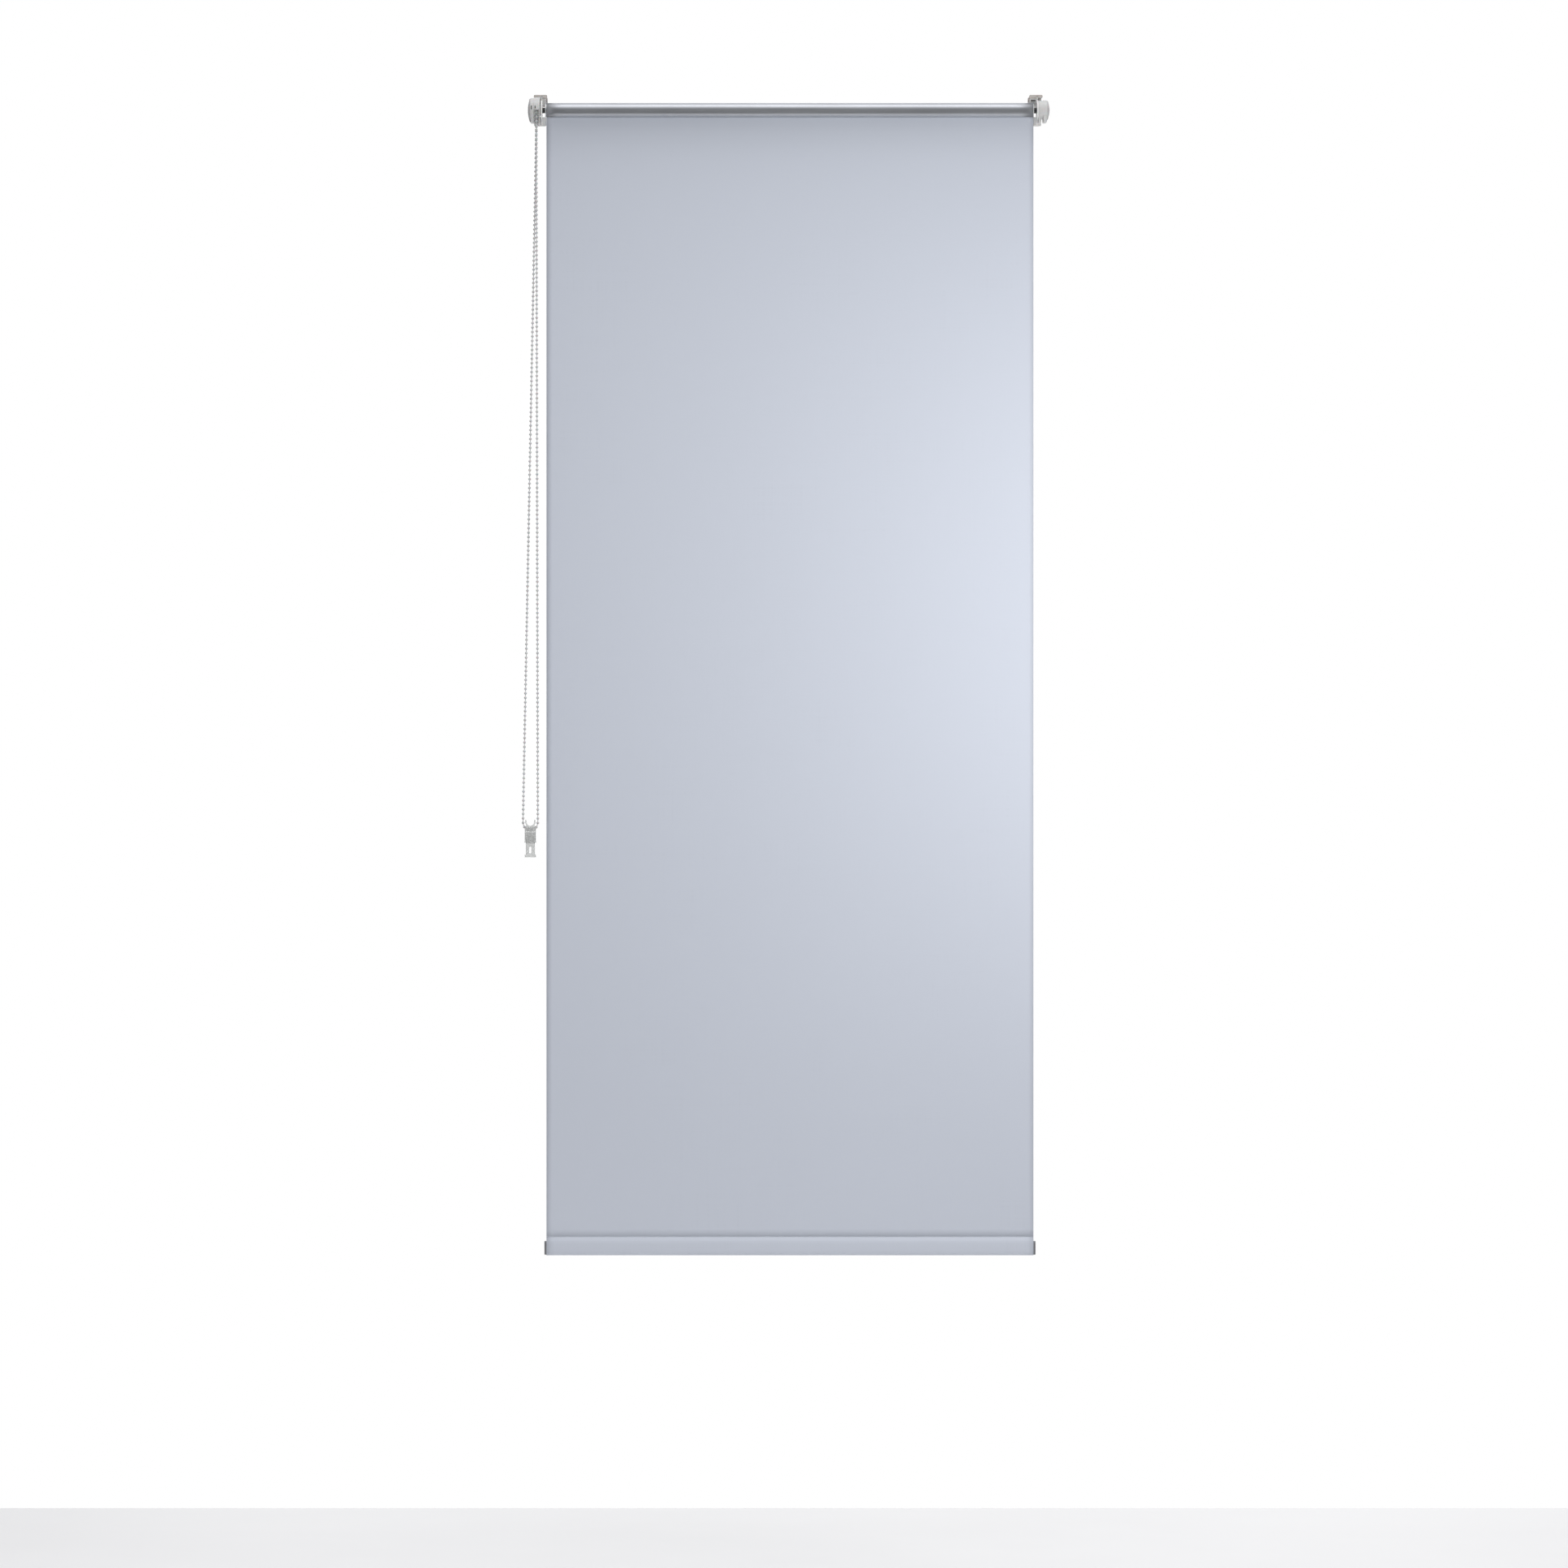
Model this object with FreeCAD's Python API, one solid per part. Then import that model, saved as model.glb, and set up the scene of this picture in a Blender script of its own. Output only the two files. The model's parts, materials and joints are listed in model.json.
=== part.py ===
import FreeCAD, Part
import math
import os

# A clamp-on roller blind for an opening window sash, hanging almost fully lowered.
# Millimetres. +X runs along the roller to the right, +Y goes from the room towards
# the window, +Z is up. The origin is at mid width on the top front edge of the sash:
# the clamp hooks sit on Z = 0 and the bracket pads touch the sash face at Y = 0.

os.makedirs("parts", exist_ok=True)

V = FreeCAD.Vector
UP = V(0, 0, 1)

# Driving dimensions: roller
fabric_width = 600.0
fabric_thick = 0.4
tube_diameter = 16.5
tube_wall = 0.8
tube_bore = tube_diameter / 2 - tube_wall      # radius inside the tube
roller_y = -20.0           # roller axis, in front of the sash
roller_z = -16.0
tube_left, tube_right = -300.5, 299.0
roll_radius = tube_diameter / 2 + fabric_thick
panel_clearance = 0.3      # the hanging cloth stays this far off the roll

# Driving dimensions: hanging cloth and hem
weld_z = -1402.6           # line where the hem pocket closes
hem_height = 23.1
hem_thick = 5.6
hem_bar_height, hem_bar_thick = 17.0, 4.2
hem_cap_thick = 2.4

# Driving dimensions: clamp brackets
left_hook_x, right_hook_x = -307.3, 303.0
hook_width = 16.4
hook_plate_thick = 3.8
hook_front_y = -14.0
sash_thickness = 18.0
hook_leg_height = 7.5
hook_leg_thick = 2.4
hook_travel = 4.0          # each way from the position for this sash
pad_thick = 1.0
blade_offset, blade_thick = 0.5, 2.0
blade_foot_z = -33.7
hub_radius = 12.0
hub_bore = 8.0
foot_top_z = -22.5
clamp_screw_offset = -3.1  # from the hook's middle line
clamp_screw_y = -5.2
clamp_screw_radius = 1.5

# Driving dimensions: chain drive on the left end
bead_diameter = 3.4
string_diameter = 1.0
bead_count_wheel = 12
bead_pitch = 5.5
pitch_radius = bead_pitch * bead_count_wheel / (2 * math.pi)
chain_x = -312.1
guard_radius = 15.9
guard_wall = 1.3
guard_tail_half = 7.0
guard_tail_z = -33.7
guard_right = -307.8
guard_left = -315.2
cover_radius = 15.2
cover_tail_half = 11.8
cover_tail_z = -31.7
cover_tail_x = -319.2      # outer face of the tail
cover_face_x = -321.0      # outer face of the disc, below its dome
cover_wall = 1.3
cover_shoulder = 3.0       # rounding round the disc
dome_height = 1.8
shaft_radius = 3.5

# Driving dimensions: chain loop and its tensioner
loop_x = -319.6            # middle of the loop's lower end
loop_turn_z = -891.7       # centre of the saddle that the chain turns round
loop_radius = 9.25
free_chain_top = 6.0       # the free chain begins this far below the axis
saddle_outer, saddle_inner = 6.4, 4.6
horn_height = 2.6          # of the saddle's ends above its centre
holder_half_width, holder_half_depth = 6.8, 4.5
holder_top_z, holder_bottom_z = -897.5, -917.3
base_half_width, base_half_depth = 5.5, 2.9
base_top_z, base_bottom_z = -911.0, -935.2

# Driving dimensions: idle end on the right
idle_pin_radius, idle_tip_radius = 3.7, 2.0
idle_pin_inner_x, idle_bore_x = 290.0, 279.5   # pin's inner end, and the bottom of the plug's bore
idle_open_x, idle_tail_x, idle_face_x = 311.2, 315.6, 317.7
idle_radius = 12.5
idle_plate_radius = 12.0
idle_tail_half = 9.6
idle_tail_z = -32.6


def box(x0, x1, y0, y1, z0, z1):
    return Part.makeBox(x1 - x0, y1 - y0, z1 - z0, V(x0, y0, z0))


def rod(x0, x1, radius, y=roller_y, z=roller_z):
    """Cylinder along X, on the roller axis unless told otherwise."""
    return Part.makeCylinder(radius, x1 - x0, V(x0, y, z), V(1, 0, 0))


def ring(x0, x1, outer, inner):
    return rod(x0, x1, outer).cut(rod(x0 - 1, x1 + 1, inner))


def fuse(first, *others):
    return first.multiFuse(list(others)).removeSplitter()


def cut(first, *others):
    for other in others:
        first = first.cut(other)
    return first


def soften(shape, radius, chosen):
    """Round the edges for which chosen(edge) is true."""
    edges = [e for e in shape.Edges if chosen(e)]
    return shape.makeFillet(radius, edges)


def along(edge, axis):
    """True for a straight edge that runs along one axis."""
    if edge.Curve.TypeId != "Part::GeomLine":
        return False
    d = edge.Vertexes[-1].Point.sub(edge.Vertexes[0].Point)
    return abs(abs(d.dot(axis)) - d.Length) < 1e-6


def polygon_prism(points, direction):
    wire = Part.makePolygon([V(*p) for p in points + points[:1]])
    return Part.Face(wire).extrude(direction)


def save(name, *shapes):
    solids = [s for shape in shapes for s in shape.Solids]
    whole = solids[0] if len(solids) == 1 else Part.makeCompound(solids)
    whole.exportStep(f"parts/{name}.step")
    volume = sum(s.Volume for s in solids)
    print(f"{name:22s} {len(solids)} solid(s) {volume:12.1f} mm3 valid {whole.isValid()}")


# --- Clamp brackets: the same mouldings on both sides ---

def carrier(hook_x):
    """Fixed bracket: a blade that holds the end unit, a head under the hook and a foot on the sash."""
    x0 = hook_x + blade_offset
    x1 = x0 + blade_thick
    hub = rod(x0, x1, hub_radius)
    post = box(x0, x1, -7, -pad_thick, blade_foot_z, 0)
    arm = polygon_prism(
        [(x0, roller_y, roller_z + 11.5), (x0, -7, -1), (x0, -3, -1), (x0, -3, blade_foot_z + 3),
         (x0, -7, blade_foot_z + 3), (x0, roller_y, roller_z - 11.5)],
        V(blade_thick, 0, 0),
    )
    rail = box(x0, x1, hook_front_y + 1.5, -pad_thick, -6, 1.8)
    head = polygon_prism(
        [(hook_x - 7.2, -5, 0), (hook_x + 7.0, -5, 0), (hook_x + 7.0, -5, -4.5), (hook_x + 5.2, -5, -7.4),
         (hook_x - 5.4, -5, -7.4), (hook_x - 7.2, -5, -4.5)],
        V(0, 5 - pad_thick, 0),
    )
    screw_x = hook_x + clamp_screw_offset
    boss = box(screw_x - 3.2, x0 + 0.5, clamp_screw_y - 3.3, -pad_thick, -5, 0)
    foot = box(hook_x - 8, hook_x + 7, -3, -pad_thick, blade_foot_z, foot_top_z)
    foot = soften(foot, 1.5, lambda e: along(e, V(0, 1, 0)))
    gusset = polygon_prism(
        [(x0 - 4, -3, foot_top_z - 2), (x0 + 6, -3, foot_top_z - 2), (x0 + blade_thick, -7, foot_top_z - 2),
         (x0, -7, foot_top_z - 2)],
        V(0, 0, blade_foot_z + 1 - (foot_top_z - 2)),
    )
    body = fuse(hub, post, arm, rail, head, boss, foot, gusset)
    nut_slot = box(screw_x - 2.8, screw_x + 2.8, clamp_screw_y - 4, clamp_screw_y + 2.8, -4.1, -1.6)
    screw_hole = Part.makeCylinder(clamp_screw_radius + 0.1, 12, V(screw_x, clamp_screw_y, -8.5), UP)
    return cut(body, rod(x0 - 1, x1 + 1, hub_bore / 2), nut_slot, screw_hole)


def hook(hook_x):
    """Sliding hook: a plate over the sash with a leg behind it."""
    leg_y = sash_thickness + pad_thick
    half = hook_width / 2
    plate = box(hook_x - half, hook_x + half, hook_front_y, leg_y + hook_leg_thick, 0, hook_plate_thick)
    plate = soften(plate, 1.5, lambda e: along(e, V(0, 1, 0)))
    waist = []
    for side, reach in ((-1, half), (1, half)):
        edge = hook_x + side * reach
        inner = hook_x + side * (reach - 1.6)
        waist.append(box(min(edge, inner), max(edge, inner), hook_front_y + 5, leg_y - 4, -1, 5))
    leg_top = hook_plate_thick / 2
    leg = box(hook_x - half, hook_x + half, leg_y, leg_y + hook_leg_thick, -hook_leg_height, leg_top)
    leg = soften(leg, 2.0, lambda e: along(e, V(0, 1, 0)) and e.BoundBox.ZMax < 1 - hook_leg_height)
    whole = fuse(cut(plate, *waist), leg)
    x0 = hook_x + blade_offset
    blade_slot = box(x0 - 0.15, x0 + blade_thick + 0.15, hook_front_y - 1, sash_thickness - 3, -1, 2.1)
    screw_x = hook_x + clamp_screw_offset
    return cut(whole, blade_slot, slot_along_y(screw_x, 3.4, -1, 5), slot_along_y(screw_x, 6.0, 1.6, 5))


def slot_along_y(x, width, z0, z1):
    """Round-ended slot for the clamp screw, as long as the hook's travel, with the screw at its middle."""
    front = clamp_screw_y - hook_travel - 0.2
    rear = clamp_screw_y + hook_travel + 0.2
    radius = width / 2
    ends = [Part.makeCylinder(radius, z1 - z0, V(x, y, z0), UP) for y in (front, rear)]
    return fuse(box(x - radius, x + radius, front, rear, z0, z1), *ends)


def clamp_screw(hook_x):
    """Pan-head screw that stands in the hook's slot and pulls it down on the carrier."""
    x, y = hook_x + clamp_screw_offset, clamp_screw_y
    shank = Part.makeCylinder(clamp_screw_radius, 8.7, V(x, y, -7.0), UP)
    head = Part.makeCylinder(2.8, 1.9, V(x, y, 1.7), UP)
    head = soften(head, 0.7, lambda e: e.BoundBox.ZMin > 3)
    long, short = 1.7, 0.35
    cross = [box(x - a, x + a, y - b, y + b, 2.7, 5) for a, b in ((long, short), (short, long))]
    return cut(fuse(shank, head), *cross)


def clamp_nut(hook_x):
    """Square nut held in the carrier's slot."""
    x, y = hook_x + clamp_screw_offset, clamp_screw_y
    plate = box(x - 2.7, x + 2.7, y - 2.7, y + 2.7, -4.0, -1.7)
    return cut(plate, Part.makeCylinder(clamp_screw_radius + 0.03, 12, V(x, y, -9), UP))


def sash_pads(hook_x):
    """Foam pads on the carrier's back, at its head and foot."""
    foot = box(hook_x - 7.2, hook_x + 6.2, -pad_thick, 0, blade_foot_z + 0.8, foot_top_z - 0.8)
    head = box(hook_x - 4.8, hook_x + 4.6, -pad_thick, 0, -7, -1)
    return [soften(p, 0.8, lambda e: along(e, V(0, 1, 0))) for p in (foot, head)]


def hook_pad(hook_x):
    pad = box(hook_x - 7, hook_x + 7, sash_thickness, sash_thickness + pad_thick,
              -hook_leg_height + 1, -0.8)
    return soften(pad, 0.8, lambda e: along(e, V(0, 1, 0)))


for side, hook_x in (("left", left_hook_x), ("right", right_hook_x)):
    save(f"{side}_carrier", carrier(hook_x))
    save(f"{side}_clamp_hook", hook(hook_x))
    save(f"{side}_clamp_screw", clamp_screw(hook_x))
    save(f"{side}_clamp_nut", clamp_nut(hook_x))
    save(f"{side}_sash_pads", *sash_pads(hook_x))
    save(f"{side}_hook_pad", hook_pad(hook_x))


# --- Chain drive unit on the left carrier ---

def teardrop(x0, x1, radius, tail_half, tail_z, corner=3.0):
    """Disc round the roller axis with a tail below it."""
    tail = box(x0, x1, roller_y - tail_half, roller_y + tail_half, tail_z, roller_z)
    tail = soften(tail, corner, lambda e: along(e, V(1, 0, 0)) and e.BoundBox.ZMax < tail_z + 1)
    return fuse(rod(x0, x1, radius), tail)


def round_face(shape, x, radius):
    """Round every edge that lies in the plane at x."""
    return soften(shape, radius, lambda e: abs(e.BoundBox.XMin - x) < 1e-4 and e.BoundBox.XLength < 1e-4)


def dome(face_x, sign, base_radius, height):
    """Spherical cap standing on a flat face, bulging towards sign times X."""
    sphere_radius = (base_radius ** 2 + height ** 2) / (2 * height)
    centre = V(face_x + sign * (height - sphere_radius), roller_y, roller_z)
    sphere = Part.makeSphere(sphere_radius, centre)
    near, far = sorted((face_x - sign * 0.3, face_x + sign * (height + 1)))
    return sphere.common(rod(near, far, base_radius + 4))


def above_axis(x0, x1, drop=0.5):
    """Block that keeps only what lies above the roller axis."""
    return box(x0, x1, roller_y - 30, roller_y + 30, roller_z - drop, roller_z + 30)


def end_cover(open_x, tail_x, face_x, radius, tail_half, tail_z):
    """Hollow cap: a teardrop skirt, and a disc with a rounded shoulder and a shallow dome."""
    sign = 1 if face_x > open_x else -1
    skirt = teardrop(*sorted((open_x, tail_x)), radius, tail_half, tail_z)
    disc = rod(*sorted((open_x, face_x)), radius)
    outer = fuse(round_face(skirt, tail_x, 1.0), round_face(disc, face_x, cover_shoulder),
                 dome(face_x, sign, radius - cover_shoulder - 0.5, dome_height))
    mouth_x = open_x - sign
    inner_tail_x, inner_face_x = tail_x - sign * cover_wall, face_x - sign * cover_wall
    tail_room = teardrop(*sorted((mouth_x, inner_tail_x)), radius - cover_wall, tail_half - cover_wall,
                         tail_z + cover_wall, 2.0)
    disc_room = rod(*sorted((mouth_x, inner_face_x)), radius - cover_wall)
    return cut(outer, tail_room, round_face(disc_room, inner_face_x, cover_shoulder - 0.8))


def drive_cover():
    shell = end_cover(guard_left, cover_tail_x, cover_face_x, cover_radius, cover_tail_half, cover_tail_z)
    seat = ring(cover_face_x + 0.4, -316.7, 5.0, 1.6)
    window = box(-318.6, -317.6, roller_y - 17, roller_y - 12, roller_z - 0.2, roller_z + 4.4)
    return cut(fuse(shell, seat), window, rod(-324, -316, 1.6), rod(-324, -321.3, 3.3))


def drive_guard():
    """Inner half of the drive case: a cheek with a rim over the wheel's upper half."""
    cheek_x = guard_right - 1.2
    cheek = teardrop(cheek_x, guard_right, guard_radius, guard_tail_half, guard_tail_z)
    rim = ring(guard_left, cheek_x, guard_radius, guard_radius - guard_wall)
    rim = rim.common(above_axis(guard_left - 1, guard_right))
    tail_rib = box(cheek_x - 0.9, cheek_x + 0.4, roller_y - 4, roller_y + 4, guard_tail_z + 0.8,
                   roller_z - 13.4)
    clip = ring(guard_right - 0.4, left_hook_x + blade_offset, 6.5, shaft_radius + 0.3)
    window = box(-314.2, -313.0, roller_y - 17.5, roller_y - 12, roller_z + 0.8, roller_z + 4.2)
    body = fuse(cheek, rim, tail_rib, clip)
    return cut(body, rod(cheek_x - 1, guard_right + 2, shaft_radius + 0.3), window)


def on_pitch_circle(turn):
    """Where a bead sits on the wheel, at an angle from the sash side."""
    return V(chain_x, roller_y + pitch_radius * math.cos(turn), roller_z + pitch_radius * math.sin(turn))


def chain_wheel():
    """Pocketed wheel: twelve ball pockets between two flanges, with a recess for the brake springs."""
    half_gap = 1.9
    core = rod(chain_x - half_gap, chain_x + half_gap, pitch_radius - 0.5 - string_diameter / 2)
    flanges = [rod(chain_x - 2.7, chain_x - half_gap, 12.2), rod(chain_x + half_gap, chain_x + 2.7, 12.2)]
    body = fuse(core, *flanges)
    pockets = []
    for k in range(bead_count_wheel):
        turn = math.radians(360 / bead_count_wheel * (k + 0.5))
        pockets.append(Part.makeSphere(bead_diameter / 2 + 0.18, on_pitch_circle(turn)))
    spring_room = rod(chain_x - 3, chain_x + 0.8, 5.9)
    return cut(body, *pockets, spring_room, hexagon(chain_x, chain_x + 3, 6.1))


def hexagon(x0, x1, across_flats):
    radius = across_flats / math.sqrt(3)
    corners = []
    for k in range(6):
        turn = math.radians(60 * k)
        corners.append((x0, roller_y + radius * math.cos(turn), roller_z + radius * math.sin(turn)))
    return polygon_prism(corners, V(x1 - x0, 0, 0))


def brake_drum():
    """Fixed drum on the cover: the wrap springs grip it when the blind pulls."""
    flange = rod(-316.7, -315.5, 6.4)
    drum = rod(-315.5, chain_x + 0.5, 4.4)
    return cut(fuse(flange, drum), rod(-320, -305, 1.58))


def wrap_spring(first_x, coils=2):
    """Short close-wound coil drawn as touching rings that share a little metal."""
    wire = 0.45
    places = [V(first_x + 0.75 * k, roller_y, roller_z) for k in range(coils)]
    return fuse(*[Part.makeTorus(4.87, wire, place, V(1, 0, 0)) for place in places])


def drive_axle():
    """Steel pin that ties cover, drum and wheel together, with a domed head."""
    head = rod(-322.3, -321.3, 3.0)
    head = soften(head, 0.5, lambda e: e.BoundBox.XMax < -322)
    return fuse(head, rod(-321.3, -299.0, 1.5))


def drive_shaft():
    """Turning shaft from the wheel through the blade into the tube plug."""
    stub = hexagon(chain_x + 0.9, -309.0, 6.0)
    neck = rod(-309.0, tube_left - 0.8, shaft_radius)
    tail = hexagon(tube_left - 0.8, -287.0, 6.0)
    return cut(fuse(stub, neck, tail), rod(chain_x, -298.6, 1.56))


def tube_plug(face_x, inward, length):
    """End plug: a flange outside the tube and a ribbed body inside it."""
    def span(a, b):
        return sorted((face_x + inward * a, face_x + inward * b))
    flange = rod(*span(-0.8, 0), 8.1)
    body = rod(*span(0, length), 6.4)
    body = soften(body, 0.8, lambda e: abs(e.BoundBox.XMin - (face_x + inward * length)) < 1e-3)
    ribs = []
    for k in range(6):
        rib = box(*span(0, length - 2), roller_y - 0.7, roller_y + 0.7,
                  roller_z, roller_z + tube_bore - 0.05)
        rib.rotate(V(0, roller_y, roller_z), V(1, 0, 0), 60 * k)
        ribs.append(rib)
    return fuse(flange, body, *ribs)


left_plug = cut(tube_plug(tube_left, 1, 18), hexagon(-304, -286.9, 6.1))

save("drive_cover", drive_cover())
save("drive_guard", drive_guard())
save("chain_wheel", chain_wheel())
save("brake_drum", brake_drum())
save("wrap_springs", wrap_spring(-314.35), wrap_spring(-312.65))
save("drive_axle", drive_axle())
save("drive_shaft", drive_shaft())
save("left_tube_plug", left_plug)


# --- Roller ---

tube = ring(tube_left, tube_right, tube_diameter / 2, tube_bore)
tape_arc = rod(tube_left + 2, tube_right - 2, tube_diameter / 2 + 0.15)
tape_arc = cut(tape_arc, rod(tube_left, tube_right, tube_diameter / 2))
tape = tape_arc.common(box(tube_left, tube_right, roller_y - 3, roller_y + 3, roller_z, roller_z + 20))
wound = ring(-fabric_width / 2, tube_right, roll_radius, tube_diameter / 2)
save("roller_tube", tube)
save("fabric_tape", tape)
save("wound_fabric", cut(wound, tape))


# --- Idle end on the right carrier ---

def idle_cover():
    tail_half, tail_z = idle_tail_half + 0.8, idle_tail_z + 1.2
    shell = end_cover(idle_open_x, idle_tail_x, idle_face_x, idle_radius, tail_half, tail_z)
    post = ring(idle_open_x, idle_face_x - 0.6, 3.0, 1.2)
    return fuse(shell, post)


def idle_plate():
    """Bearing plate for the idle pin, clipped on the right carrier's blade."""
    near = right_hook_x + blade_offset + blade_thick
    radius = idle_plate_radius
    base = teardrop(near + 0.2, near + 1.8, radius, idle_tail_half, idle_tail_z)
    rim = ring(near + 1.6, idle_open_x, radius, radius - 1.2).common(above_axis(near, idle_open_x, 11))
    cup = rod(near + 1.6, idle_open_x - 0.8, 4.6)
    body = fuse(base, rim, cup)
    return cut(body, rod(near - 1, idle_open_x - 2, idle_tip_radius + 0.06))


def idle_pin():
    """Spring-loaded pin: it backs into the plug so that the roller lifts out."""
    tip_end = right_hook_x + blade_offset + blade_thick + 3.2
    tip = rod(303.3, tip_end, idle_tip_radius)
    tip = soften(tip, 0.5, lambda e: e.BoundBox.XMin > tip_end - 0.01)
    return fuse(tip, rod(idle_pin_inner_x, 303.3, idle_pin_radius))


def idle_spring():
    """Compression spring behind the pin, as five open coils joined by a straight back."""
    wire, radius, count = 0.4, 2.9, 5
    first, last = idle_bore_x + wire, idle_pin_inner_x - wire
    places = [first + (last - first) * k / (count - 1) for k in range(count)]
    coils = [Part.makeTorus(radius, wire, V(x, roller_y, roller_z), V(1, 0, 0)) for x in places]
    back = rod(first, last, 0.3, roller_y + radius, roller_z)
    return fuse(*coils, back)


right_plug = cut(tube_plug(tube_right, -1, 21.5), rod(idle_bore_x, 301, idle_pin_radius + 0.08))
save("idle_cover", idle_cover())
save("idle_plate", idle_plate())
save("idle_pin", idle_pin())
save("idle_spring", idle_spring())
save("right_tube_plug", right_plug)


# --- Hanging cloth and hem ---

panel_y = roller_y + roll_radius + panel_clearance
save("fabric_panel", box(-fabric_width / 2, fabric_width / 2, panel_y, panel_y + fabric_thick,
                         weld_z, roller_z))
hem_y = panel_y + fabric_thick / 2


def pocket_outline(inset):
    """Drop-shaped section of the hem: closed at the weld, full depth over the bar, round below."""
    half = hem_thick / 2 - inset
    bottom = weld_z - hem_height + inset
    shoulder = weld_z - 4.5
    neck = max(fabric_thick - inset, 0.12)
    right = [V(0, hem_y + neck, weld_z - 2.2 * inset), V(0, hem_y + half, shoulder),
             V(0, hem_y + half, bottom + half)]
    left = [V(0, 2 * hem_y - p.y, p.z) for p in reversed(right)]
    edges = [Part.LineSegment(right[0], right[1]), Part.LineSegment(right[1], right[2]),
             Part.Arc(right[2], V(0, hem_y, bottom), left[0]),
             Part.LineSegment(left[0], left[1]), Part.LineSegment(left[1], left[2]),
             Part.LineSegment(left[2], right[0])]
    return Part.Face(Part.Wire([e.toShape() for e in edges]))


def extrude_hem(face, x0, x1):
    return face.translated(V(x0, 0, 0)).extrude(V(x1 - x0, 0, 0))


half_width = fabric_width / 2
pocket = cut(extrude_hem(pocket_outline(0), -half_width, half_width),
             extrude_hem(pocket_outline(fabric_thick), -half_width - 1, half_width + 1))
bar_bottom = weld_z - hem_height + fabric_thick + 0.3
bar = box(-half_width + 0.2, half_width - 0.2, hem_y - hem_bar_thick / 2, hem_y + hem_bar_thick / 2,
          bar_bottom, bar_bottom + hem_bar_height)
bar = soften(bar, hem_bar_thick / 2 - 0.1, lambda e: along(e, V(1, 0, 0)))
cap_pins = [bar_bottom + 4.5, bar_bottom + hem_bar_height - 4.5]
pin_holes = [rod(end - 6, end + 6, 1.03, hem_y, z) for end in (-half_width, half_width) for z in cap_pins]


def hem_cap(side):
    """Oval end cap with two pins that press into the bar."""
    inner = side * (half_width + 0.1)
    outer = side * (half_width + 0.1 + hem_cap_thick)
    x0, x1 = sorted((inner, outer))
    half = hem_thick / 2 - 0.1
    cap = box(x0, x1, hem_y - half, hem_y + half, bar_bottom, bar_bottom + hem_bar_height)
    cap = round_face(soften(cap, 2.4, lambda e: along(e, V(1, 0, 0))), outer, 0.6)
    ends = sorted((inner, side * (half_width - 5)))
    pins = [rod(*ends, 1.0, hem_y, z) for z in cap_pins]
    return fuse(cap, *pins)


save("hem_pocket", pocket)
save("hem_bar", cut(bar, *pin_holes))
save("left_hem_cap", hem_cap(-1))
save("right_hem_cap", hem_cap(1))


# --- Bead chain ---

def tangent_path(points):
    """Straight runs joined by tangent arcs, each beginning 0.45 of its shorter run before the corner."""
    edges = []
    start = points[0]
    for before, corner, after in zip(points, points[1:], points[2:]):
        to_corner = corner.sub(before)
        from_corner = after.sub(corner)
        a, b = V(to_corner).normalize(), V(from_corner).normalize()
        half_turn = a.getAngle(b) / 2
        reach = 0.45 * min(to_corner.Length, from_corner.Length)
        radius = reach / math.tan(half_turn)
        enter = corner.sub(a * reach)
        leave = corner.add(b * reach)
        inwards = b.sub(a).normalize()
        middle = corner.add(inwards * (radius / math.cos(half_turn) - radius))
        print(f"chain turn of {math.degrees(2 * half_turn):.1f} degrees at radius {radius:.2f} mm")
        edges.append(Part.LineSegment(start, enter).toShape())
        edges.append(Part.Arc(enter, middle, leave).toShape())
        start = leave
    edges.append(Part.LineSegment(start, points[-1]).toShape())
    return Part.Wire(edges)


def tube_along(path, radius):
    first = path.Edges[0]
    direction = first.tangentAt(first.FirstParameter)
    section = Part.Wire(Part.makeCircle(radius, first.valueAt(first.FirstParameter), direction))
    return path.makePipeShell([section], True, False)


free_top_z = roller_z - free_chain_top
front_y, back_y = roller_y - pitch_radius, roller_y + pitch_radius
turn_bottom_z = loop_turn_z - loop_radius
chain_route = [
    V(chain_x, front_y, free_top_z),
    V(loop_x + loop_radius, roller_y, turn_bottom_z),
    V(loop_x - loop_radius, roller_y, turn_bottom_z),
    V(chain_x, back_y, free_top_z),
]
chain_path = tangent_path(chain_route)
chain = tube_along(chain_path, bead_diameter / 2)
expected = chain_path.Length * math.pi * (bead_diameter / 2) ** 2
print(f"free chain {chain_path.Length:.1f} mm")
print(f"chain volume over its section times its length {chain.Volume / expected:.4f}")
save("bead_chain", chain)


def chain_over_wheel():
    """The stretch on the wheel: string over the top half and a bead in each pocket it crosses."""
    top = V(chain_x, roller_y, roller_z + pitch_radius)
    front, back = V(chain_x, front_y, roller_z), V(chain_x, back_y, roller_z)
    drop = V(0, 0, free_chain_top)
    path = Part.Wire([
        Part.LineSegment(front.sub(drop), front).toShape(),
        Part.Arc(front, top, back).toShape(),
        Part.LineSegment(back, back.sub(drop)).toShape(),
    ])
    string = tube_along(path, string_diameter / 2)
    places = []
    for k in range(bead_count_wheel // 2):
        turn = math.radians(360 / bead_count_wheel * (k + 0.5))
        places.append(on_pitch_circle(turn))
    places += [p.sub(V(0, 0, bead_pitch / 2)) for p in (front, back)]
    return fuse(string, *[Part.makeSphere(bead_diameter / 2, p) for p in places])


save("chain_over_wheel", chain_over_wheel())


# --- Chain tensioner at the loop's lower end ---

def disc_y(radius, half_depth, x=loop_x, z=loop_turn_z):
    """Disc with its axis along Y."""
    return Part.makeCylinder(radius, 2 * half_depth, V(x, roller_y - half_depth, z), V(0, 1, 0))


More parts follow.
